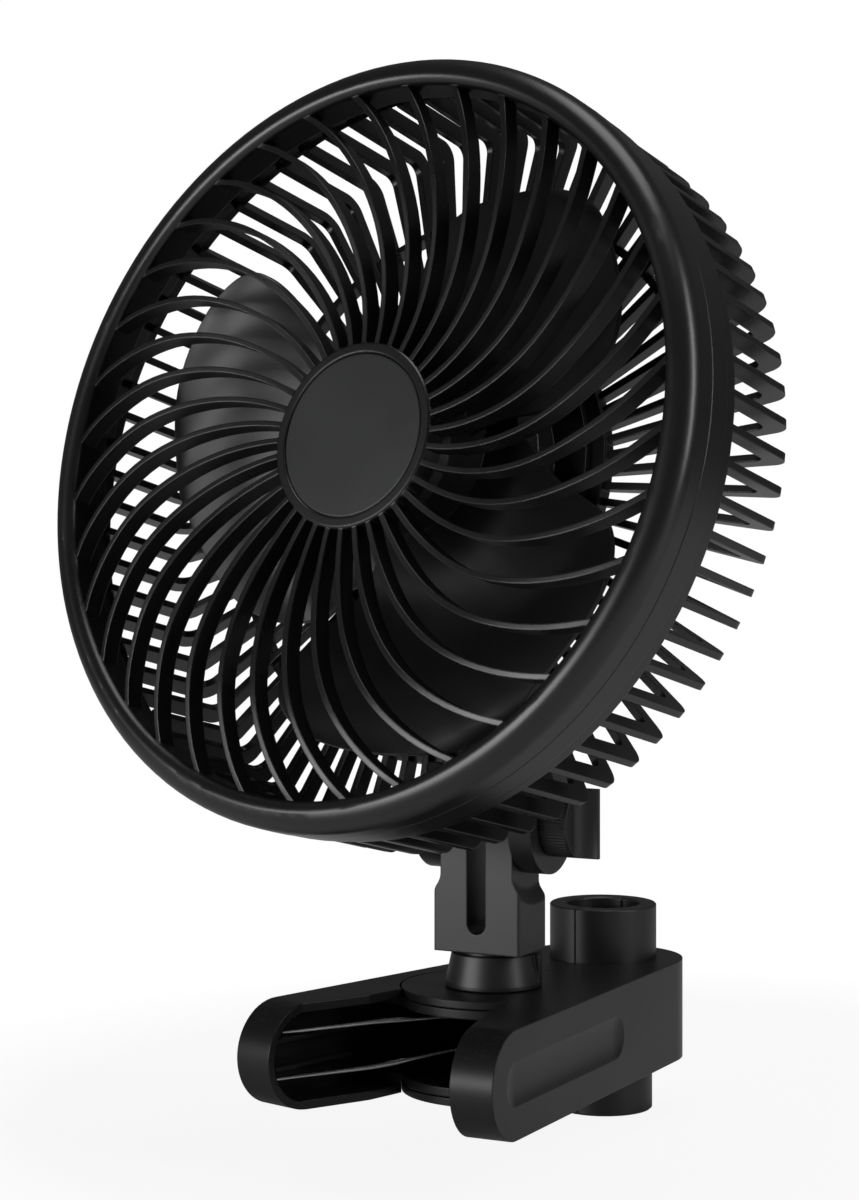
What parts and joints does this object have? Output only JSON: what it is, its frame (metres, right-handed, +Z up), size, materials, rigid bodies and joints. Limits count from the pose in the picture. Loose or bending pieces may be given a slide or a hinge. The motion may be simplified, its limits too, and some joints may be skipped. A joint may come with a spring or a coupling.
{
  "type": "clip fan",
  "caption": "Small caged fan on a tilting yoke with a spring clamp for a round pole; curved-spoke grille, ribbed rear cage and slotted tilt block.",
  "frame": {"origin": "on the axis of the clamp's pole bore, at the clamp's mid-height", "axes": "+Z up along the pole, the clamp's handles and the fan towards -Y, the tilt knob on the +X side"},
  "size_m": [0.19, 0.1545, 0.27],
  "materials": {
    "grille_plastic": "black satin plastic",
    "blade_plastic": "dark grey smooth plastic",
    "clamp_plastic": "black satin plastic, lightly grained",
    "spring_steel": "bright drawn wire",
    "zinc_steel": "zinc plated",
    "bearing_bronze": "sintered bronze",
    "motor_can_steel": "drawn steel",
    "magnet": "bonded ferrite",
    "lamination_steel": "stacked laminations",
    "copper_winding": "enamelled copper wire",
    "board": "solder mask"
  },
  "bodies": {
    "clamp_right": {"jaw_right": "clamp_plastic", "grip_right": "clamp_plastic", "hinge_sleeve": "clamp_plastic", "torsion_spring": "spring_steel"},
    "clamp_left": {"jaw_left": "clamp_plastic", "grip_left": "clamp_plastic"},
    "block": {"tilt_block": "clamp_plastic", "swivel_washer": "zinc_steel", "swivel_screw": "zinc_steel"},
    "yoke": {"yoke": "clamp_plastic", "tilt_bolt": "zinc_steel", "post_washer": "zinc_steel", "post_screw": "zinc_steel"},
    "knob": {"tilt_knob": "clamp_plastic", "tilt_nut": "zinc_steel", "spring_washer": "spring_steel"},
    "head": {"front_grille": "grille_plastic", "hub_disc": "grille_plastic", "rear_cage": "grille_plastic", "motor_cup": "grille_plastic", "rear_housing": "clamp_plastic", "housing_screws": "zinc_steel", "stator": "lamination_steel", "stator_coils": "copper_winding", "bearing_front": "bearing_bronze", "bearing_rear": "bearing_bronze", "bearing_tube": "zinc_steel", "circuit_board": "board", "speed_control": "clamp_plastic", "power_socket": "clamp_plastic"},
    "rotor": {"fan_blades": "blade_plastic", "rotor_can": "motor_can_steel", "magnet_ring": "magnet", "motor_shaft": "zinc_steel"},
    "dial": {"speed_knob": "clamp_plastic"}
  },
  "joints": [
    {"name": "jaw_hinge", "type": "hinge", "parent": "clamp_right", "child": "clamp_left", "pos_m": [0, -0.053, 0], "axis": [0, 0, 1], "range_deg": [0, 40], "stiffness_Nm_per_rad": 0.35, "springref_deg": -51.57, "deforming": ["torsion_spring"]},
    {"name": "swivel", "type": "hinge", "parent": "clamp_right", "child": "block", "pos_m": [0, -0.053, 0.02], "axis": [0, 0, 1], "range_deg": [-117, 103]},
    {"name": "tilt", "type": "hinge", "parent": "block", "child": "yoke", "pos_m": [0, -0.053, 0.0553], "axis": [-0.9925, -0.1219, 0], "range_deg": [-30, 45]},
    {"name": "tilt_knob_turn", "type": "hinge", "parent": "block", "child": "knob", "pos_m": [0, -0.053, 0.0553], "axis": [0.9925, 0.1219, 0], "continuous": true},
    {"name": "pan", "type": "hinge", "parent": "yoke", "child": "head", "pos_m": [-0.0016, -0.03999, 0.10355], "axis": [-0.032, 0.2602, 0.965], "range_deg": [-35.5, 54.5]},
    {"name": "fan_spin", "type": "hinge", "parent": "head", "child": "rotor", "pos_m": [-0.00307, -0.10665, 0.1508], "axis": [-0.0478, -0.9648, 0.2586], "continuous": true},
    {"name": "speed_dial", "type": "hinge", "parent": "head", "child": "dial", "pos_m": [-0.02977, -0.05281, 0.14369], "axis": [-0.9983, 0.0379, -0.0433], "range_deg": [0, 270]}
  ]
}
